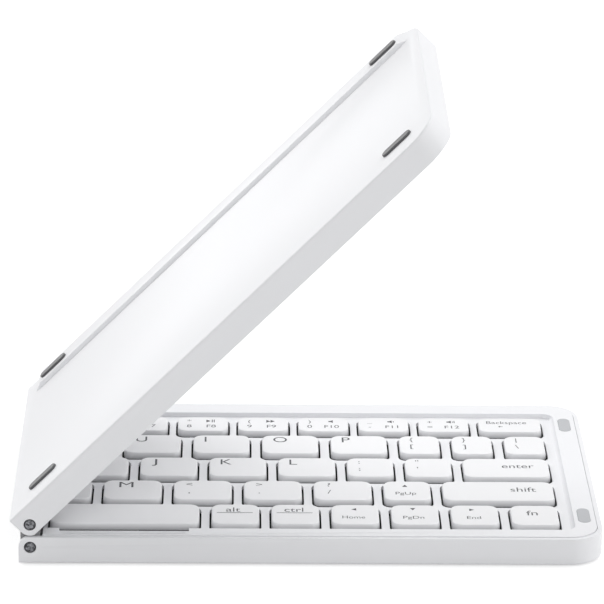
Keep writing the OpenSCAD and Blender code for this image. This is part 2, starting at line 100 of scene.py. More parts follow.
class KeyboardShells(PropertyGroup):
    """Edges of the cases, the decks and the spine."""

    case_edge: length("Case edge", "Width of the rounding along the cases' edges", 0.3 * MM)
    deck_edge: length("Deck edge", "Width of the rounding along the decks' edges", 0.16 * MM)
    spine_edge: length("Spine edge", "Width of the rounding along the spine's edges", 0.2 * MM)
    edge_segments: IntProperty(name="Edge segments", description="Faces across a rounded edge", default=3)
    sharp_angle: angle("Sharp angle", "Edges that turn more than this are rounded", 32)


class KeyboardCaps(PropertyGroup):
    """The form of a key cap and of its legend."""

    lean: length("Lean", "Lean of a cap's side up to its top edge", 0.16 * MM)
    edge: length("Top edge", "Radius of the rounding round a cap's top", 0.2 * MM)
    corner: length("Corner", "Corner radius of a cap at its foot, from above", 2.0 * MM)
    top_corner: length("Top corner", "Corner radius of a cap at its top, from above", 2.7 * MM)
    dish: length("Dish", "Depth of the shallow dish in a cap's top", 0.07 * MM)
    wall: length("Wall", "Thickness of a cap's walls and top", 0.9 * MM)
    skirt: length("Skirt", "Reach of a cap's walls below the packed solid, to the step", 0.45 * MM)
    ink_height: length("Ink height", "Height of the printed legend above the cap", 0.012 * MM)
    ink_weight: FloatProperty(name="Ink weight", description="Change in stroke width", default=-0.002)


class KeyboardPads(PropertyGroup):
    """The feet, the bumpers and the heads of the pins."""

    foot_edge: length("Foot edge", "Radius of the rounding round a foot's sole", 0.22 * MM)
    bumper_edge: length("Bumper edge", "Radius of the rounding round a bumper's top", 0.09 * MM)
    pin_chamfer: length("Pin chamfer", "Width of the chamfer round a pin's head", 0.22 * MM)
    pin_dome: length("Pin dome", "Height of the shallow dome of a pin's head", 0.08 * MM)
    # Beyond this radius the pin's face is drawn darker, as painted shade of the gap round its head.
    pin_dark: length("Pin's dark rim", "Radius beyond which a pin's face is less worn", 1.15 * MM)


class KeyboardColours(PropertyGroup):
    """Linear colours of the finishes."""

    case: colour("Case", "White plastic of the cases", (0.86, 0.865, 0.885))
    deck: colour("Deck", "White plastic of the decks", (0.87, 0.875, 0.895))
    cap: colour("Caps", "White plastic of the key caps", (0.88, 0.882, 0.895))
    cap_foot: colour("Caps' feet", "A cap's foot, darker in place of shadow", (0.36, 0.363, 0.375))
    ink: colour("Ink", "Ink of the legends", (0.055, 0.056, 0.062))
    bumper: colour("Bumpers", "Silicone of the closing bumpers", (0.5, 0.51, 0.53))
    foot: colour("Feet", "Rubber of the feet", (0.07, 0.071, 0.075))
    pin: colour("Pins", "Blackened steel of the pins", (0.12, 0.122, 0.13))
    spine: colour("Spine", "Grey plastic of the spine", (0.24, 0.243, 0.25))
    # Near black: partly the plates' black coat and partly painted shade, so that the gaps between the caps
    # show dark.
    plate: colour("Key plates", "Black coating of the plates under the keys", (0.012, 0.012, 0.013))


class KeyboardStudio(PropertyGroup):
    """The camera, the lamps and the floor."""

    camera_place: FloatVectorProperty(
        name="Camera",
        description="Place of the camera",
        default=(-0.0195116, -0.9473114, 0.3920623),
        subtype="TRANSLATION",
    )
    camera_pitch: angle("Pitch", "How far the camera looks down", 19.5827)
    camera_yaw: angle("Yaw", "How far the camera looks to the right", 1.1047)
    camera_roll: angle("Roll", "Turn of the camera about its own axis", 0.6651)
    camera_lens: FloatProperty(name="Lens", description="Focal length in millimetres", default=232.67)
    sky: FloatProperty(name="Sky", description="Light from all around", default=0.42)
    power: FloatProperty(name="Lamps", description="Factor on the power of every lamp", default=1.0)
    lamp_distance: length("Lamp distance", "Distance of each lamp from the keyboard", 1.6)
    lamp_size: length("Lamp size", "Diameter of each lamp", 0.9)
    floor_size: length("Floor", "Length and width of the floor", 8.0)
    floor_lift: FloatProperty(name="Floor lift", description="White added to the floor", default=0.5)


# ---- The two trays ----


def joint(name):
    """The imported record's entry for a joint."""
    return next(j for j in frame["joints"] if j["name"] == name)


class Tray:
    """A tray's own frame: x runs from its hinge end to its tip, y from its near
    face to its far face with 0 in the middle, and z up through its rim, which
    is at 0. The left tray's frame is the right one's mirrored."""

    def __init__(self, pin, along, up, inset):
        self.axes = np.array([along, (0, 1, 0), up])
        self.origin = np.array(pin) - inset * np.array(along) + inset * np.array(up)
        self.mirrored = np.linalg.det(self.axes) < 0

    def to_world(self, points):
        return self.origin + points @ self.axes

    def to_tray(self, points):
        return (points - self.origin) @ self.axes.T


def make_trays():
    """The right and left trays, from the pins' axes and the angle that the left one stands at."""
    low_pin, high_pin = joint("spine_fold")["pos_m"], joint("lid_fold")["pos_m"]
    inset = low_pin[0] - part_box("right_case")[0].x
    stand = -math.radians(joint("lid_fold")["range_deg"][0])
    cos, sin = math.cos(stand), math.sin(stand)
    right = Tray(low_pin, (1, 0, 0), (0, 0, 1), inset)
    left = Tray(high_pin, (cos, 0, sin), (sin, 0, -cos), inset)
    return {"right": right, "left": left}


trays = make_trays()


def solid_boxes(node, tray):
    """Lowest and highest corners, in a tray's frame, of each solid in a node, tip first.
    Corners that coincide are one, and each takes the lowest number among its triangles until none
    changes."""
    mesh = frame["nodes"][node].data
    mesh.calc_loop_triangles()
    points = np.empty(len(mesh.vertices) * 3)
    mesh.vertices.foreach_get("co", points)
    points = tray.to_tray(points.reshape(-1, 3))
    triangles = np.empty(len(mesh.loop_triangles) * 3, int)
    mesh.loop_triangles.foreach_get("vertices", triangles)
    _, same = np.unique(np.round(points / UM), axis=0, return_inverse=True)
    corners = same.reshape(-1)[triangles].reshape(-1, 3)
    label = np.arange(corners.max() + 1)
    while True:
        lowest = np.repeat(label[corners].min(axis=1), 3)
        new = label.copy()
        np.minimum.at(new, corners.ravel(), lowest)
        if (new == label).all():
            break
        label = new
    own = label[same.reshape(-1)]
    boxes = [(points[own == n].min(axis=0), points[own == n].max(axis=0)) for n in np.unique(own)]
    return sorted(boxes, key=lambda box: -box[1][0])


# ---- Surfaces ----


class Form:
    """Points and faces that are gathered into one mesh. Each face keeps the number of its material,
    and each point a value that its material can read."""

    def __init__(self):
        self.points, self.faces, self.paints, self.values, self.count = [], [], [], [], 0

    def add(self, points, faces, paint=0, flip=False, value=0.0):
        step = -1 if flip else 1
        self.faces += [tuple(np.asarray(face)[::step] + self.count) for face in faces]
        self.paints += [paint] * len(faces)
        self.points.append(np.asarray(points))
        self.values.append(np.broadcast_to(value, len(points)))
        self.count += len(points)

    def make(self, name, materials, attribute=None):
        """The piece itself, smooth but for its sharp edges. Its points' values go into the named
        attribute."""
        mesh = bpy.data.meshes.new(name)
        mesh.from_pydata(np.concatenate(self.points), [], self.faces)
        for material in materials:
            mesh.materials.append(material)
        mesh.polygons.foreach_set("material_index", np.array(self.paints, np.int32))
        mesh.shade_smooth()
        mesh.set_sharp_from_angle(angle=SMOOTH_ANGLE)
        if attribute:
            stored = mesh.attributes.new(attribute, "FLOAT", "POINT")
            stored.data.foreach_set("value", np.concatenate(self.values).astype(np.float32))
        mesh.update()
        return link(bpy.data.objects.new(name, mesh))


def link(piece):
    """The piece, put into the scene."""
    bpy.context.scene.collection.objects.link(piece)
    return piece


def settle(piece, body, slot, *nodes):
    """The piece rides on a body and stands for CAD nodes. The slot is not used."""
    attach(piece, body)
    if nodes:
        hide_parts(*nodes)


def stacked_faces(rings, around):
    """Faces of rings of points laid one after another: four-sided between two rings, and one flat
    face at each end. They face outwards where each ring runs anticlockwise and the rings climb or
    close in."""
    grid = np.arange(rings * around).reshape(rings, around)
    ahead = np.roll(grid, -1, axis=1)
    sides = np.stack([grid[:-1], ahead[:-1], ahead[1:], grid[1:]], axis=-1).reshape(-1, 4)
    return list(sides) + [grid[0][::-1], grid[-1]]


def round_rectangles(half_x, half_y, radius, corner_steps=8, side_steps=5):
    """Rectangles with round corners, one for each entry of the arrays, anticlockwise from the +x side.
    Each corner is a quarter circle about its own centre, and points at even steps join it to the next."""
    turn = np.linspace(0, math.pi / 2, corner_steps) + np.arange(4)[:, None] * math.pi / 2
    side_x = np.array([1, -1, -1, 1])[:, None]
    side_y = np.array([1, 1, -1, -1])[:, None]
    half_x, half_y, radius = (np.asarray(v)[:, None, None] for v in (half_x, half_y, radius))
    x = side_x * (half_x - radius) + radius * np.cos(turn)
    y = side_y * (half_y - radius) + radius * np.sin(turn)
    corners = np.stack([x, y], axis=-1)
    start, end = corners[:, :, -1:], np.roll(corners, -1, axis=1)[:, :, :1]
    share = (np.arange(1, side_steps + 1) / (side_steps + 1))[:, None]
    sides = start + (end - start) * share
    return np.concatenate([corners, sides], axis=2).reshape(len(corners), -1, 2)


def stack(half_x, half_y, insets, heights, radii):
    """A solid of round rectangles: each is drawn in by its inset and lies at its height. Gives its
    points and faces."""
    room = min(half_x, half_y) - insets
    rings = round_rectangles(half_x - insets, half_y - insets, np.minimum(radii, room * ROUNDEST))
    z = np.broadcast_to(np.asarray(heights)[:, None, None], rings.shape[:2] + (1,))
    return np.concatenate([rings, z], axis=-1).reshape(-1, 3), stacked_faces(*rings.shape[:2])


def quarter(radius, steps=6):
    """Inset and rise along a quarter circle that turns from upright to level."""
    turn = np.linspace(0, math.pi / 2, steps)
    return radius * (1 - np.cos(turn)), radius * np.sin(turn)


# ---- Shader maths ----


class Wire:
    """An output of a node. Python's operators on it add Math nodes."""

    def __init__(self, paint, socket):
        self.paint, self.socket = paint, socket

    def calculate(self, operation, first, second):
        return self.paint.node("Math", {0: first, 1: second}, operation=operation)

    def __add__(self, other):
        return self.calculate("ADD", self, other)

    def __sub__(self, other):
        return self.calculate("SUBTRACT", self, other)

    def __rsub__(self, other):
        return self.calculate("SUBTRACT", other, self)

    def __mul__(self, other):
        return self.calculate("MULTIPLY", self, other)

    def over(self, limit):
        """1 where the value is over a limit, and else 0."""
        return self.calculate("GREATER_THAN", self, limit)

    def wave(self):
        """The sine of the value."""
        return self.paint.node("Math", {0: self}, operation="SINE")

    __radd__ = __add__
    __rmul__ = __mul__


class Paint:
    """A material or a world, and the nodes in it."""

    def __init__(self, owner):
        owner.use_nodes = True
        self.owner, self.tree = owner, owner.node_tree
        self.tree.nodes.clear()

    def node(self, kind, inputs, output=0, **settings):
        """Adds a node. Its settings come first, then the values or links of its sockets. Gives one
        of its outputs."""
        made = self.tree.nodes.new("ShaderNode" + kind)
        for key, value in settings.items():
            setattr(made, key, value)
        for key, value in inputs.items():
            if isinstance(value, Wire):
                self.tree.links.new(value.socket, made.inputs[key])
            else:
                made.inputs[key].default_value = value
        return Wire(self, made.outputs[output]) if made.outputs else made

    def place(self, stretch=(1, 1, 1)):
        """Object coordinates, stretched."""
        return self.node("Mapping", {"Vector": self.node("TexCoord", {}, "Object"), "Scale": stretch})

    def noise(self, size, detail=2.0, stretch=(1, 1, 1)):
        """Noise from 0 to 1 whose clouds are about size across."""
        return self.node("TexNoise", {"Vector": self.place(stretch), "Scale": 1 / size, "Detail": detail})

    def blend(self, share, first, second):
        """A colour between two."""
        return self.node("Mix", {0: share, 6: opaque(first), 7: opaque(second)}, 2, data_type="RGBA")

    def bump(self, height, depth):
        """A normal that follows a height from 0 to 1, which stands for depth in metres."""
        return self.node("Bump", {"Height": height, "Distance": depth, "Strength": 1.0})

    def finish(self, **inputs):
        """Ends the material in a Principled shader. Names of sockets are written with _ for a space."""
        inputs = {key.replace("_", " "): value for key, value in inputs.items()}
        shader = self.node("BsdfPrincipled", inputs)
        self.node("OutputMaterial", {"Surface": shader})
        return self.owner


def opaque(value):
    """A colour with its alpha, or the wire that carries one."""
    return value if isinstance(value, Wire) else (*value, 1.0)


def shade(value, factor):
    """A colour, lighter or darker."""
    return tuple(channel * factor for channel in value)


def new_paint(name):
    return Paint(bpy.data.materials.new(name))


def moulded_plastic(name, base, roughness, grain=0.16 * MM, depth=2.2 * UM):
    """Moulded plastic: a fine even grain, and faint clouds in its colour and its gloss where the
    melt flowed."""
    paint = new_paint(name)
    flow = paint.noise(22 * MM, stretch=(1, 0.4, 1))
    spark = paint.noise(grain, detail=3.0)
    return paint.finish(
        Base_Color=paint.blend(flow, shade(base, 0.985), base),
        Roughness=roughness + (flow - 0.5) * 0.05 + (spark - 0.5) * 0.1,
        Normal=paint.bump(spark, depth),
        IOR=1.5,
    )


def cap_plastic(name, base, foot):
    """A key cap's plastic, with a smooth fine grain. By the height that the mesh carries, it is
    darker and a little duller towards the cap's foot. The darker colour stands in for shadow and
    isn't a finish of the real cap."""
    paint = new_paint(name)
    height = paint.node("Attribute", {}, "Fac", attribute_name="cap_height")
    spark = paint.noise(0.16 * MM, detail=3.0)
    return paint.finish(
        Base_Color=paint.blend(height, foot, base),
        Roughness=0.52 - height * 0.12 + (spark - 0.5) * 0.1,
        Normal=paint.bump(spark, 1.2 * UM),
        IOR=1.5,
    )


def printed_ink(name, base):
    """Pad-printed ink: thin, slightly uneven and duller than the cap under it."""
    paint = new_paint(name)
    cover = paint.noise(0.12 * MM, detail=3.0)
    return paint.finish(Base_Color=paint.blend(cover, base, shade(base, 1.7)), Roughness=0.5 + cover * 0.15)


def soft_rubber(name, base):
    """Silicone: dull, with a fine blasted texture and specks of dust."""
    paint = new_paint(name)
    blast = paint.noise(0.1 * MM, detail=4.0)
    dust = paint.noise(0.9 * MM, detail=5.0).over(0.68)
    clean = paint.blend(blast, shade(base, 0.92), shade(base, 1.06))
    return paint.finish(
        Base_Color=paint.blend(dust * 0.25, clean, (0.7, 0.7, 0.68)),
        Roughness=0.62 + (blast - 0.5) * 0.2,
        Normal=paint.bump(blast, 6 * UM),
    )


def turned_steel(name, base, look):
    """Blackened steel turned on a lathe: fine rings by the distance from its axis, which the mesh
    carries. The face is lighter in flecks, and darker near its rim as painted shade of the gap."""
    paint = new_paint(name)
    radius = paint.node("Attribute", {}, "Fac", attribute_name="turned_radius")
    ring = (radius * (2 * math.pi / (0.2 * MM))).wave() * 0.5 + 0.5
    fleck = (paint.noise(0.6 * MM, detail=3.0) - 0.4) * 3.5
    # Flecks lighten the face and fade beyond pin_dark, so the darker rim is painted shade of the gap round
    # the head.
    rim_shaded_flecks = fleck * (1 - radius.over(look.pin_dark) * 0.8)
    return paint.finish(
        Base_Color=paint.blend(ring * 0.2 + rim_shaded_flecks * 0.8, shade(base, 0.2), shade(base, 2.6)),
        Metallic=1.0,
        Roughness=0.25 + ring * 0.1,
        Normal=paint.bump(ring * 0.2 + fleck * 0.5, 30 * UM),
    )


def coated_sheet(name, base):
    """Sheet steel under a thin black coat: dull, with faint clouds where the coat is thicker. Given near
    black, its colour is also painted shade for the gaps between the caps.
    """
    paint = new_paint(name)
    cloud = paint.noise(3 * MM, detail=4.0)
    coat = paint.blend(cloud, shade(base, 0.8), shade(base, 1.3))
    return paint.finish(Base_Color=coat, Roughness=0.55 + cloud * 0.15)


def smooth_rubber(name, base):
    """Dark rubber with a smooth skin: a soft gloss, faint clouds and a few specks of dust."""
    paint = new_paint(name)
    skin = paint.noise(0.5 * MM, detail=3.0)
    dust = paint.noise(0.7 * MM, detail=5.0).over(0.7)
    clean = paint.blend(skin, shade(base, 0.9), shade(base, 1.15))
    return paint.finish(
        Base_Color=paint.blend(dust * 0.2, clean, (0.6, 0.6, 0.58)),
        Roughness=0.3 + skin * 0.12,
        Normal=paint.bump(skin, 3 * UM),
        IOR=1.55,
    )


def sheet_steel(name, base):
    """Rolled sheet steel: long fine scratches one way, and blotches in its gloss."""
    paint = new_paint(name)
    scratch = paint.noise(0.15 * MM, detail=3.0, stretch=(0.04, 1, 1))
    blotch = paint.noise(9 * MM, detail=3.0)
    return paint.finish(
        Base_Color=paint.blend(scratch, shade(base, 0.85), shade(base, 1.1)),
        Metallic=1.0,
        Roughness=0.3 + blotch * 0.2,
        Normal=paint.bump(scratch, 2 * UM),
    )


def milky_silicone(name, base):
    """Domes and scissor frames: pale, waxy and a little cloudy."""
    paint = new_paint(name)
    cloud = paint.noise(1.5 * MM, detail=3.0)
    return paint.finish(Base_Color=paint.blend(cloud, shade(base, 0.9), base), Roughness=0.4 + cloud * 0.15)


def foil_pouch(name, base):
    """The battery's foil: soft creases and a dull metal look."""
    paint = new_paint(name)
    crease = paint.noise(5 * MM, detail=5.0)
    return paint.finish(
        Base_Color=paint.blend(crease, shade(base, 0.8), shade(base, 1.25)),
        Metallic=0.8,
        Roughness=0.34 + crease * 0.2,
        Normal=paint.bump(crease, 60 * UM),
    )


def solder_mask(name, base):
    """The circuit board: glossy lacquer over raised copper tracks."""
    paint = new_paint(name)
    track = paint.node("TexBrick", {"Vector": paint.place(), "Scale": 160.0, "Mortar Size": 0.03}, "Fac")
    cloud = paint.noise(3 * MM)
    copper = paint.blend(cloud, shade(base, 1.6), shade(base, 2.1))
    return paint.finish(
        Base_Color=paint.blend(track, base, copper),
        Roughness=0.25 + cloud * 0.1,
        Normal=paint.bump(track, 12 * UM),
    )


def amber_film(name, base):
    """The ribbon cable: amber film with copper lines along it."""
    paint = new_paint(name)
    line = paint.node(
        "TexWave", {"Vector": paint.place(), "Scale": 400.0, "Distortion": 0.0}, "Fac", bands_direction="Y"
    ).over(0.6)
    return paint.finish(Base_Color=paint.blend(line, base, shade(base, 0.5)), Roughness=0.3 + line * 0.1)


# ---- Cases, decks and spine ----


def rounded_copy(node, name, width, look):
    """A copy of a CAD node with its loose triangles merged, its flat faces joined and its sharp
    edges marked. A Bevel modifier rounds the marked edges. An edge that ends on very short ones is
    left sharp, because its rounding would have no room there."""
    mesh = frame["nodes"][node].data.copy()
    mesh.name = name
    form = bmesh.new()
    form.from_mesh(mesh)
    bmesh.ops.remove_doubles(form, verts=form.verts, dist=WELD)
    bmesh.ops.dissolve_limit(form, angle_limit=FLAT_ANGLE, verts=form.verts, edges=form.edges)
    weight = form.edges.layers.float.new("bevel_weight_edge")
    sharp = {e for e in form.edges if len(e.link_faces) == 2 and e.calc_face_angle(0) > look.sharp_angle}
    short = {e for e in form.edges if e not in sharp and e.calc_length() < EDGE_ROOM * width}
    cramped = {e for e in sharp if any(n in short for v in e.verts for n in v.link_edges)}
    for edge in sharp - cramped:
        edge[weight] = 1.0
    form.to_mesh(mesh)
    form.free()
    mesh.materials.clear()
    mesh.shade_smooth()
    mesh.set_sharp_from_angle(angle=look.sharp_angle)
    piece = link(bpy.data.objects.new(name, mesh))
    bevel = piece.modifiers.new("rounded edges", "BEVEL")
    bevel.limit_method = "WEIGHT"
    bevel.width = width
    bevel.segments = look.edge_segments
    bevel.miter_outer = "MITER_ARC"
    bevel.harden_normals = True
    return piece


class KEYBOARD_OT_shells(Operator):
    """Makes the cases and decks of both trays, and the spine, with rounded edges"""

    bl_idname = "keyboard.shells"
    bl_label = "Cases, decks and spine"

    def execute(self, context):
        look, paint = context.scene.keyboard_shells, context.scene.keyboard_colours
        case = moulded_plastic("satin white shell", paint.case, 0.42)
        deck = moulded_plastic("satin white deck", paint.deck, 0.45)
        spine = moulded_plastic("grey nylon", paint.spine, 0.5, grain=0.12 * MM, depth=4 * UM)
        for side in trays:
            for part, width, finish in (("case", look.case_edge, case), ("deck", look.deck_edge, deck)):
                node = f"{side}_{part}"
                piece = rounded_copy(node, f"{node}_shell", width, look)
                piece.data.materials.append(finish)
                settle(piece, f"{side}_tray", f"{part}_plastic", node)
        piece = rounded_copy("hinge_spine", "hinge_spine_bar", look.spine_edge, look)
        piece.data.materials.append(spine)
        settle(piece, "spine", "spine_plastic", "hinge_spine")
        return {"FINISHED"}


# ---- Key caps and legends ----

Mark = namedtuple("Mark", "text x top height anchor stretch", defaults=["left", 1.0])

LEFT_ROWS = {
    "left_bottom_keys": "ctrl fn super alt space",
    "left_z_keys": "shift z x c v b",
    "left_a_keys": "caps a s d f g",
    "left_q_keys": "tab q w e r t",
    "left_number_keys": "esc grave 1 2 3 4 5",
}
PAIRS = {
    "semicolon": ":;",
    "quote": "\"'",
    "comma": "<,",
    "period": ">.",
    "slash": "?/",
    "open_bracket": "{[",
    "close_bracket": "}]",
    "backslash": "|\\",
    "grave": "~`",
}
NUMBER_KEYS = "1 2 3 4 5 6 7 8 9 0 minus equals".split()
NUMBERS = dict(zip(NUMBER_KEYS, "!1 @2 #3 $4 %5 ^6 &7 *8 (9 )0 _- +=".split()))
TASKS = "dim bright find dim bright find rewind play forward silent quiet loud".split()
UNDERLINE = Mark("rule", 1.4, 5.4, 0.24, "left", 38.0)
WORDS = {
    "enter": [Mark("enter", 4.05, 3.65, 2.85, "right")],
    "shift": [Mark("shift", 4.6, 3.75, 2.93, "right")],
    "backspace": [Mark("Backspace", 2.25, 2.1, 1.95), Mark("back", 5.2, 5.5, 1.1)],
    "caps": [Mark("caps", 3.2, 3.7, 2.85)],
    "tab": [Mark("tab", 3.2, 3.7, 2.85)],
    "esc": [Mark("esc", 3.2, 3.0, 2.6)],
    "alt": [Mark("alt", 3.75, 2.0, 2.8), UNDERLINE],
    "ctrl": [Mark("ctrl", 3.4, 2.0, 2.75), UNDERLINE],
    "fn": [Mark("fn", 4.1, 3.35, 3.1)],
    "left": [Mark("left", -0.3, 2.3, 1.5, "centre"), Mark("Home", -0.4, 7.1, 1.9, "centre", 0.92)],
    "right": [Mark("right", -0.6, 2.3, 1.5, "centre"), Mark("End", -0.3, 7.1, 1.9, "centre")],
    "up": [Mark("up", -0.5, 2.4, 1.4, "centre"), Mark("PgUp", -0.4, 7.1, 1.9, "centre")],
    "down": [Mark("down", -0.45, 2.1, 1.4, "centre"), Mark("PgDn", -0.4, 7.1, 1.9, "centre")],
}


def bar(left, right, low=0.0, high=1.0):
    """An upright rectangle of a drawn mark."""
    return [(left, low), (right, low), (right, high), (left, high)]


ARROW = [(0, 0), (0.62, 0.5), (0, 1)]
SPEAKER = [bar(0, 0.26, 0.3, 0.7), [(0.26, 0.3), (0.62, 0), (0.62, 1), (0.26, 0.7)]]
DRAWN = {
    "left": [[(0.86, 0), (0.86, 1), (0, 0.5)]],
    "right": [[(0, 0), (0.86, 0.5), (0, 1)]],
    "up": [[(0, 0), (1, 0), (0.5, 1)]],
    "down": [[(0, 1), (0.5, 0), (1, 1)]],
    "back": [[(0.6, 0), (0.6, 1), (0, 0.5)], bar(0.6, 1.2, 0.38, 0.62)],
    "rule": [bar(0, 1)],
    "rewind": [[(0.62 + x, 1 - y), (0.62 + x, y), (x, 0.5)] for x, y in ((0, 1), (0.6, 1))],
    "play": [ARROW, bar(0.76, 0.9), bar(1.04, 1.18)],
    "forward": [ARROW, [(x + 0.6, y) for x, y in ARROW]],
    "silent": SPEAKER,
    "quiet": [*SPEAKER, bar(0.78, 0.9, 0.28, 0.72)],
    "loud": [*SPEAKER, bar(0.78, 0.9, 0.28, 0.72), bar(1.02, 1.14, 0.1, 0.9)],
    "dim": [bar(0.3, 0.7, 0.3, 0.7), bar(0.44, 0.56, 0.86, 1), bar(0.44, 0.56, 0, 0.14)],
    "bright": [
        bar(0.25, 0.75, 0.25, 0.75),
        bar(0.42, 0.58, 0.84, 1),
        bar(0.42, 0.58, 0, 0.16),
        bar(0, 0.14, 0.42, 0.58),
    ],
    "find": [bar(0, 0.12), bar(0.12, 0.7, 0.88, 1), bar(0.12, 0.7, 0, 0.12), bar(0.58, 0.7, 0.12, 0.88)],
}


def marks_of(key):
    """The marks on a key. Each is a text or drawn mark, its place from the cap's left or right edge
    or its middle, the distance of its top from the far edge, its height, the edge or middle that x
    is measured from, and how far it is stretched sideways. Lengths are in millimetres."""
    if key in WORDS:
        return WORDS[key]
    if len(key) == 1 and key.isalpha():
        stretch = {"m": 1.15, "j": 1.2}.get(key, 1.0)
        return [Mark(key.upper(), 4.0 if key == "m" else 3.05, 1.15, 3.65, "left", stretch)]
    if key in PAIRS:
        x = 4.05 if key in ("comma", "period", "slash") else 3.3
        return [Mark(PAIRS[key][0], x, 1.4, 2.4, "middle"), Mark(PAIRS[key][1], x, 6.0, 2.6, "middle")]
    if key in NUMBERS:
        number = NUMBER_KEYS.index(key)
        return [
            Mark(NUMBERS[key][0], 3.1, 1.9, 2.0, "middle"),
            Mark(NUMBERS[key][1], 3.1, 5.4, 2.1, "middle"),
            Mark(f"F{number + 1}", 9.0, 5.4, 2.1, "middle"),
            Mark(TASKS[number], 8.8, 1.9, 1.9, "middle"),
        ]
    return []


@functools.lru_cache(maxsize=None)
def letters(text, weight):
    """Points, faces and width of a word or a drawn mark, whose line starts at the origin. A drawn
    mark is 1 high. Text is divided by unit, which leaves a capital about 0.93 high."""
    if text in DRAWN:
        shapes = DRAWN[text]
        ends = np.cumsum([len(shape) for shape in shapes])
        points = np.concatenate([np.array(shape, float) for shape in shapes])
        return points, np.split(np.arange(ends[-1]), ends[:-1]), points[:, 0].max()
    unit = 0.73
    curve = bpy.data.curves.new("word", "FONT")
    curve.body = text
    curve.offset = weight
    holder = link(bpy.data.objects.new("word", curve))
    bpy.context.view_layer.update()
    mesh = holder.to_mesh()
    points = np.empty(len(mesh.vertices) * 3)
    mesh.vertices.foreach_get("co", points)
    points = points.reshape(-1, 3)[:, :2] / unit
    faces = [tuple(face.vertices) for face in mesh.polygons]
    bpy.data.objects.remove(holder)
    points[:, 0] -= points[:, 0].min()
    return points, faces, points[:, 0].max()


def cap_surface(half_x, half_y, low, high, look):
    """A key cap, hollow below. Its rings go from the middle of its ceiling out and down its inner
    wall, round its foot, up its side, which leans in by the square of its height, round its top
    edge and in to the middle. Gives the points, the faces and each point's share of the height."""
    core = INNERMOST * min(half_x, half_y)
    climb = np.linspace(0, 1, 6)
    inset, rise = quarter(look.edge)
    rim = look.lean + look.edge
    inward = np.linspace(0, 1, 8)[1:]
    insets = np.concatenate([
        [core, look.wall, look.wall, look.edge / 4],
        look.lean * climb[:-1] ** 2,
        look.lean + inset,
        rim + (core - rim) * inward,
    ])
    foot = low + look.edge / 4
    shoulder = high - look.edge
    heights = np.concatenate([
        [high - look.wall, high - look.wall, low, low],
        foot + (shoulder - foot) * climb[:-1],
        shoulder + rise,
        np.full(len(inward), high),
    ])
    share = np.clip((heights - low) / (high - low), 0, 1)
    radii = look.corner + (look.top_corner - look.corner) * share - insets
    points, faces = stack(half_x, half_y, insets, heights, np.maximum(radii, look.edge))
    top = points[:, 2] > high - UM
    points[top, 2] -= dish(points[top, 0], points[top, 1], half_x - rim, half_y - rim, look)
    return points, faces, np.repeat(share, len(points) // len(share))


def dish(x, y, half_x, half_y, look):
    """Depth of a cap's top below its rim: full in the middle, and falling off with the square
    towards each side."""
    return look.dish * np.clip(1 - (x / half_x) ** 2, 0, 1) * np.clip(1 - (y / half_y) ** 2, 0, 1)


def legend_places(mark, width, half_x, half_y):
    """Where a mark's line starts, from the middle of the cap, as the reader sees it."""
    start = {
        "left": mark.x * MM - half_x,
        "middle": mark.x * MM - half_x - width / 2,
        "centre": mark.x * MM - width / 2,
        "right": half_x - mark.x * MM - width,
    }[mark.anchor]
    return start, half_y - (mark.top + mark.height) * MM


def add_cap(form, tray, box, key, look):
    """Adds a cap with its legend to a form. On the left tray the reader's right is towards the hinge."""
    low, high = box
    middle = (low + high) / 2
    half_x, half_y = (high - low)[:2] / 2
    points, faces, share = cap_surface(half_x, half_y, low[2] - look.skirt, high[2], look)
    points[:, :2] += middle[:2]
    form.add(tray.to_world(points), faces, 0, tray.mirrored, share)
    rim = look.lean + look.edge
    for mark in marks_of(key):
        flat, faces, width = letters(mark.text, look.ink_weight)
        size = mark.height * MM
        start, base = legend_places(mark, width * size * mark.stretch, half_x, half_y)
        x = flat[:, 0] * size * mark.stretch + start
        y = flat[:, 1] * size + base
        z = high[2] + look.ink_height - dish(x, y, half_x - rim, half_y - rim, look)
        reader = -1 if tray.mirrored else 1
        points = np.column_stack([middle[0] + reader * x, middle[1] + y, z])
        form.add(tray.to_world(points), faces, 1)


class KEYBOARD_OT_caps(Operator):
    """Makes the key caps of both trays with their printed legends"""

    bl_idname = "keyboard.caps"
    bl_label = "Key caps and legends"

    def execute(self, context):
        look, paint = context.scene.keyboard_caps, context.scene.keyboard_colours
        plastic = cap_plastic("smooth white cap", paint.cap, paint.cap_foot)
        finishes = [plastic, printed_ink("grey ink", paint.ink)]
        rows = {node: (trays["right"], [node[4:]]) for node in frame["nodes"] if node.startswith("key_")}
        rows.update({node: (trays["left"], names.split()) for node, names in LEFT_ROWS.items()})
        for node, (tray, names) in rows.items():
            form = Form()
            for box, key in zip(solid_boxes(node, tray), names, strict=True):
                add_cap(form, tray, box, key, look)
            settle(form.make(f"{node}_caps", finishes, "cap_height"), node, "key_plastic", node)
        return {"FINISHED"}


# ---- Feet, bumpers and pins ----


def pad_surface(half_x, half_y, height, edge):
    """A pad with half-round ends that stands on z = 0: upright sides, a quarter circle round its
    top, and a flat top."""
    inset, rise = quarter(edge)
    insets = np.concatenate([[0.0], inset, [edge + 0.4 * (half_y - edge), 0.9 * half_y]])
    heights = np.concatenate([[0.0], height - edge + rise, [height, height]])
    return stack(half_x, half_y, insets, heights, half_y - insets)


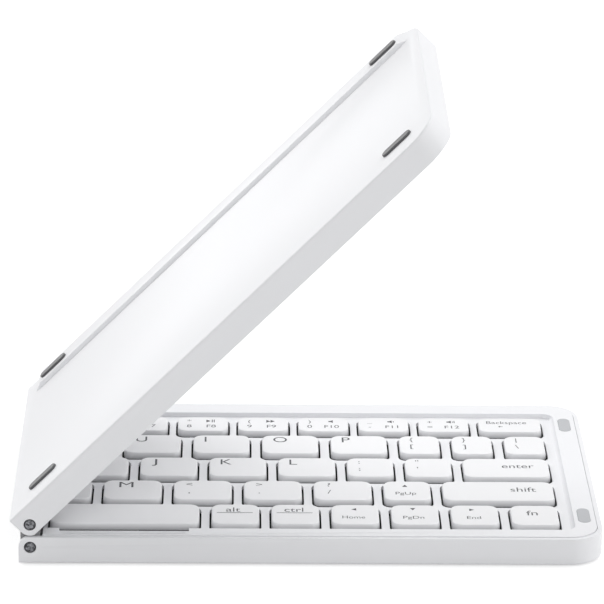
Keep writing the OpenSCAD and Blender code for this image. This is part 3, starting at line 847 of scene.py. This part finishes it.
class KEYBOARD_OT_pads(Operator):
    """Makes the rubber feet and the closing bumpers of both trays"""

    bl_idname = "keyboard.pads"
    bl_label = "Feet and bumpers"

    def execute(self, context):
        look, paint = context.scene.keyboard_pads, context.scene.keyboard_colours
        rubber = {
            "feet": smooth_rubber("dark rubber", paint.foot),
            "bumpers": soft_rubber("grey silicone", paint.bumper),
        }
        for side, tray in trays.items():
            for kind, edge, up, slot in (
                ("feet", look.foot_edge, -1, "foot_rubber"),
                ("bumpers", look.bumper_edge, 1, "bumper_rubber"),
            ):
                node = f"{side}_{kind}"
                form = Form()
                for low, high in solid_boxes(node, tray):
                    half_x, half_y, half_z = (high - low) / 2
                    across = half_y > half_x
                    long, short = max(half_x, half_y), min(half_x, half_y)
                    points, faces = pad_surface(long, short, 2 * half_z, edge)
                    if across:
                        points = points[:, [1, 0, 2]] * (-1, 1, 1)
                    seat = low[2] if up > 0 else high[2]
                    points = points * (1, 1, up) + (*((low + high) / 2)[:2], seat)
                    form.add(tray.to_world(points), faces, 0, tray.mirrored != (up < 0))
                settle(form.make(f"{node}_pads", [rubber[kind]]), f"{side}_tray", slot, node)
        return {"FINISHED"}


def pin_surface(head, shank, head_depth, depth, look, around=48):
    """A headed pin along +z from its face at 0, as rings about its axis. From the middle of the
    face outwards it is a shallow dome that falls with the square of the radius, a chamfer, the
    head's side, its back, and the shank. Gives the points, the faces and each point's distance
    from the axis."""
    face = np.linspace(0.04, 1, 9) * (head - look.pin_chamfer)
    dome = look.pin_dome * (face / head) ** 2
    radius = np.concatenate([face, [head, head, shank, shank]])
    z = np.concatenate([dome, [look.pin_dome + look.pin_chamfer, head_depth, head_depth, depth]])
    turn = np.linspace(0, 2 * math.pi, around, endpoint=False)
    ring = np.stack([np.cos(turn), np.sin(turn)], axis=-1) * radius[:, None, None]
    points = np.concatenate([ring, np.broadcast_to(z[:, None, None], ring.shape[:2] + (1,))], axis=-1)
    return points.reshape(-1, 3), stacked_faces(len(radius), around), np.repeat(radius, around)


class KEYBOARD_OT_pins(Operator):
    """Makes the four headed pins of the hinge"""

    bl_idname = "keyboard.pins"
    bl_label = "Hinge pins"

    def execute(self, context):
        look, paint = context.scene.keyboard_pads, context.scene.keyboard_colours
        form = Form()
        for low, high in solid_boxes("hinge_pins", trays["right"]):
            side = 1 if low[1] > 0 else -1
            head = (high[0] - low[0]) / 2
            middle = (low + high) / 2
            shank, head_depth = head * SHANK_SHARE, head * HEAD_DEPTH_SHARE
            points, faces, radius = pin_surface(head, shank, head_depth, high[1] - low[1], look)
            points = points[:, [0, 2, 1]] * (1, -side, 1)
            points += (middle[0], high[1] if side > 0 else low[1], middle[2])
            form.add(trays["right"].to_world(points), faces, 0, side > 0, radius)
        steel = turned_steel("blackened steel", paint.pin, look)
        settle(form.make("hinge_pin_set", [steel], "turned_radius"), "spine", "pin_steel", "hinge_pins")
        return {"FINISHED"}


# ---- What lies inside ----


class KEYBOARD_OT_inside(Operator):
    """Gives the pieces inside the trays their finishes"""

    bl_idname = "keyboard.inside"
    bl_label = "Inside the trays"

    def execute(self, context):
        # The plates' near-black colour is partly their coat and partly painted shade, so that the gaps
        # between the caps show dark.
        steel = coated_sheet("black sheet with painted gap shade", context.scene.keyboard_colours.plate)
        domes = milky_silicone("milky silicone", (0.62, 0.62, 0.6))
        finishes = {
            "right_key_plate": steel,
            "left_key_plate": steel,
            "right_key_switches": domes,
            "left_key_switches": domes,
            "battery": foil_pouch("foil pouch", (0.42, 0.43, 0.45)),
            "main_board": solder_mask("green lacquer", (0.02, 0.12, 0.05)),
            "charging_socket": sheet_steel("drawn steel", (0.5, 0.5, 0.52)),
            "flex_cable": amber_film("amber film", (0.5, 0.25, 0.05)),
        }
        for node, finish in finishes.items():
            mesh = frame["nodes"][node].data
            mesh.materials.clear()
            mesh.materials.append(finish)
        return {"FINISHED"}


# ---- Studio ----


def make_camera(look):
    """A camera that looks along the given yaw and pitch, then turns about its own axis by the roll."""
    yaw, pitch, roll = look.camera_yaw, look.camera_pitch, look.camera_roll
    ahead = np.array([math.sin(yaw) * math.cos(pitch), math.cos(yaw) * math.cos(pitch), -math.sin(pitch)])
    level = np.array([math.cos(yaw), -math.sin(yaw), 0])
    above = np.cross(level, ahead)
    right = math.cos(roll) * level + math.sin(roll) * above
    up = math.cos(roll) * above - math.sin(roll) * level
    data = bpy.data.cameras.new("camera")
    data.lens = look.camera_lens
    data.sensor_fit = "HORIZONTAL"
    data.clip_start, data.clip_end = 0.01, 50
    camera = link(bpy.data.objects.new("camera", data))
    matrix = np.eye(4)
    matrix[:3] = np.column_stack([right, up, -ahead, look.camera_place])
    camera.matrix_world = Matrix(matrix)
    bpy.context.scene.camera = camera


def make_world(look):
    """Even light from all around. The camera, mirrors and glass see plain white."""
    world = bpy.data.worlds.new("studio")
    bpy.context.scene.world = world
    paint = Paint(world)
    seen = paint.node("LightPath", {}, "Is Camera Ray") + paint.node("LightPath", {}, "Is Glossy Ray")
    seen = seen + paint.node("LightPath", {}, "Is Transmission Ray")
    clear = seen.over(0.5)
    light = paint.node("Background", {"Color": (1, 1, 1, 1), "Strength": clear + (1 - clear) * look.sky})
    paint.node("OutputWorld", {"Surface": light})


LAMPS = {
    "front lamp": ((0, -1.2, 0.9), 5.6),
    "low right lamp": ((1.4, 0, 0.35), 7.2),
    "left rear lamp": ((-1, 1, 0.8), 9.4),
    "overhead lamp": ((0.5, 0.6, 1.1), 7.7),
}


def make_lamps(look):
    """Wide soft lamps, each given by the way to it from the keyboard and its power in watts."""
    for name, (way, watts) in LAMPS.items():
        data = bpy.data.lights.new(name, "AREA")
        data.shape = "DISK"
        data.size = look.lamp_size
        data.energy = watts * look.power
        lamp = link(bpy.data.objects.new(name, data))
        way = Vector(way).normalized()
        lamp.location = way * look.lamp_distance
        lamp.rotation_mode = "QUATERNION"
        lamp.rotation_quaternion = way.to_track_quat("Z", "Y")


def make_floor(look):
    """A floor through the soles of the front and the rear feet, which shows white but keeps the shadows."""
    soles = [(low[1], low[2]) for low, high in solid_boxes("right_feet", trays["right"])]
    rim = trays["right"].origin[2]
    (front_y, front_z), (rear_y, rear_z) = min(soles), max(soles)
    slope = (rear_z - front_z) / (rear_y - front_y)
    half = look.floor_size / 2
    square = ((-half, -half), (half, -half), (half, half), (-half, half))
    corners = [(x, y, rim + front_z + slope * (y - front_y)) for x, y in square]
    mesh = bpy.data.meshes.new("floor")
    mesh.from_pydata(corners, [], [(0, 1, 2, 3)])
    paint = new_paint("pale floor")
    cloud = paint.noise(0.4)
    matt = paint.node("BsdfDiffuse", {"Color": paint.blend(cloud, (0.8, 0.8, 0.8), (0.82, 0.82, 0.82))})
    seen = paint.node("LightPath", {}, "Is Camera Ray") + paint.node("LightPath", {}, "Is Glossy Ray")
    lift = paint.node("Emission", {"Color": (1, 1, 1, 1), "Strength": seen * look.floor_lift})
    paint.node("OutputMaterial", {"Surface": paint.node("AddShader", {0: matt, 1: lift})})
    mesh.materials.append(paint.owner)
    link(bpy.data.objects.new("floor", mesh))


class KEYBOARD_OT_studio(Operator):
    """Makes the camera, the light and the floor"""

    bl_idname = "keyboard.studio"
    bl_label = "Studio"

    def execute(self, context):
        look = context.scene.keyboard_studio
        make_camera(look)
        make_world(look)
        make_lamps(look)
        make_floor(look)
        context.scene.view_settings.view_transform = "Standard"
        return {"FINISHED"}


# ---- Panel, registration and run ----

STEPS = (
    KEYBOARD_OT_studio,
    KEYBOARD_OT_shells,
    KEYBOARD_OT_caps,
    KEYBOARD_OT_pads,
    KEYBOARD_OT_pins,
    KEYBOARD_OT_inside,
)
GROUPS = {
    "keyboard_shells": KeyboardShells,
    "keyboard_caps": KeyboardCaps,
    "keyboard_pads": KeyboardPads,
    "keyboard_colours": KeyboardColours,
    "keyboard_studio": KeyboardStudio,
}


class KEYBOARD_PT_panel(Panel):
    """Lists the operators in the order that they run"""

    bl_idname = "KEYBOARD_PT_panel"
    bl_label = "Folding keyboard"
    bl_space_type = "VIEW_3D"
    bl_region_type = "UI"
    bl_category = "Keyboard"

    def draw(self, context):
        for step in STEPS:
            self.layout.operator(step.bl_idname)


def register():
    for kind in (*GROUPS.values(), *STEPS, KEYBOARD_PT_panel):
        bpy.utils.register_class(kind)
    for name, group in GROUPS.items():
        setattr(bpy.types.Scene, name, PointerProperty(type=group))


def unregister():
    for name in GROUPS:
        delattr(bpy.types.Scene, name)
    for kind in (KEYBOARD_PT_panel, *reversed(STEPS), *reversed(GROUPS.values())):
        bpy.utils.unregister_class(kind)


def main():
    """Registers the add-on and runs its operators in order."""
    register()
    for step in STEPS:
        group, name = step.bl_idname.split(".")
        getattr(getattr(bpy.ops, group), name)()


if __name__ == "__main__":
    main()
